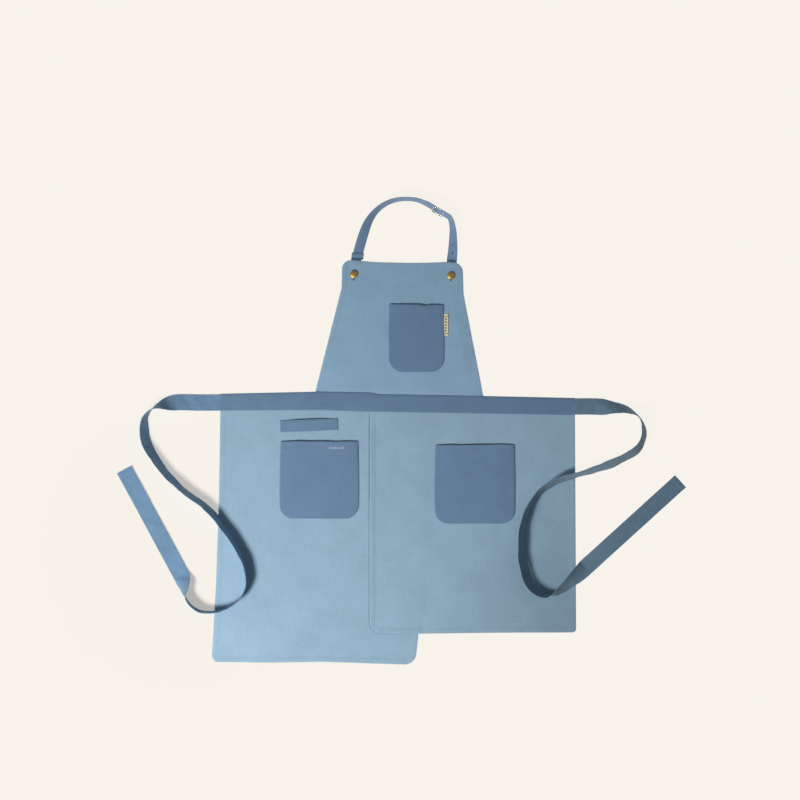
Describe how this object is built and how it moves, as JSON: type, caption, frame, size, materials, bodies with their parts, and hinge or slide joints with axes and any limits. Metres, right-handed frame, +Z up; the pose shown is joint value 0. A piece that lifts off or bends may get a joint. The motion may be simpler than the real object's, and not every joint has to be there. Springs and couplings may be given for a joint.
{
  "type": "bib apron",
  "caption": "Full-length bib apron with a split two-panel skirt, patch pockets, long waist ties and a buttoned neck strap with a slider, lying flat.",
  "frame": {"origin": "the middle of the object's footprint, on the surface it lies on", "axes": "+Z up from the surface, +Y from the hem towards the neck, +X to the right as the front is seen"},
  "size_m": [1.2506, 1.0265, 0.039],
  "materials": {
    "bib_cloth": "plain weave cotton canvas",
    "skirt_cloth": "plain weave cotton canvas",
    "trim_cloth": "denser cotton canvas",
    "strap_cloth": "folded and stitched cotton canvas",
    "label_cloth": "woven tape",
    "brass": "satin",
    "steel": "satin"
  },
  "bodies": {
    "waistband": {"waistband_front": "trim_cloth", "waistband_back": "skirt_cloth"},
    "bib": {"bib_panel": "bib_cloth", "bib_pocket": "trim_cloth", "left_strap_end": "strap_cloth", "right_strap_end": "strap_cloth", "left_button_tack": "brass", "right_button_tack": "brass"},
    "left_skirt": {"left_skirt_panel": "skirt_cloth", "left_skirt_pocket": "trim_cloth", "towel_loop": "trim_cloth"},
    "right_skirt": {"right_skirt_panel": "skirt_cloth", "right_skirt_pocket": "trim_cloth"},
    "neck_strap": {"neck_strap": "strap_cloth"},
    "slider": {"slider": "steel"},
    "left_button": {"left_button_stem": "brass", "left_button_cap": "brass"},
    "right_button": {"right_button_stem": "brass", "right_button_cap": "brass"},
    "label": {"label_tab": "label_cloth"},
    "left_tie": {"left_tie": "strap_cloth"},
    "left_tail": {"left_tie_tail": "strap_cloth"},
    "right_tie": {"right_tie": "strap_cloth"},
    "right_tail": {"right_tie_tail": "strap_cloth"}
  },
  "joints": [
    {"name": "bib_fold", "type": "hinge", "parent": "waistband", "child": "bib", "pos_m": [0, 0.082, 0.0042], "axis": [1, 0, 0], "range_deg": [0, 165]},
    {"name": "left_skirt_lift", "type": "hinge", "parent": "waistband", "child": "left_skirt", "pos_m": [0, 0.04, 0.0042], "axis": [1, 0, 0], "range_deg": [-150, 0]},
    {"name": "right_skirt_lift", "type": "hinge", "parent": "waistband", "child": "right_skirt", "pos_m": [0, 0.04, 0.0042], "axis": [1, 0, 0], "range_deg": [-150, 0]},
    {"name": "left_tie_lift", "type": "hinge", "parent": "waistband", "child": "left_tie", "pos_m": [-0.4, 0.082, 0.0045], "axis": [1, 0, 0], "range_deg": [-150, 0]},
    {"name": "right_tie_lift", "type": "hinge", "parent": "waistband", "child": "right_tie", "pos_m": [0.381, 0.073, 0.0045], "axis": [1, 0, 0], "range_deg": [-150, 0]},
    {"name": "neck_strap_fold", "type": "hinge", "parent": "bib", "child": "neck_strap", "pos_m": [0, 0.376, 0.0042], "axis": [-1, 0, 0], "range_deg": [-150, 0]},
    {"name": "slider_slide", "type": "slide", "parent": "neck_strap", "child": "slider", "axis": [0.8607, -0.509, 0], "range_m": [-0.008, 0.008]},
    {"name": "left_button_turn", "type": "hinge", "parent": "bib", "child": "left_button", "pos_m": [-0.106, 0.3441, 0], "axis": [0, 0, 1], "continuous": true},
    {"name": "right_button_turn", "type": "hinge", "parent": "bib", "child": "right_button", "pos_m": [0.1074, 0.3414, 0], "axis": [0, 0, 1], "continuous": true},
    {"name": "label_flip", "type": "hinge", "parent": "bib", "child": "label", "pos_m": [0.0916, 0.2332, 0.0056], "axis": [0, -1, 0], "range_deg": [0, 100]},
    {"name": "left_tail_lift", "type": "hinge", "parent": "left_tie", "child": "left_tail", "pos_m": [-0.4858, -0.316, 0.003], "axis": [0.8801, 0.4747, 0], "range_deg": [0, 60]},
    {"name": "right_tail_lift", "type": "hinge", "parent": "right_tie", "child": "right_tail", "pos_m": [0.4045, -0.2991, 0.0046], "axis": [0.6726, -0.74, 0], "range_deg": [0, 60]}
  ],
  "couplings": [
    {"joint": "right_skirt_lift", "follows": "left_skirt_lift", "ratio": 1},
    {"joint": "left_tie_lift", "follows": "left_skirt_lift", "ratio": 1},
    {"joint": "right_tie_lift", "follows": "left_skirt_lift", "ratio": 1}
  ]
}
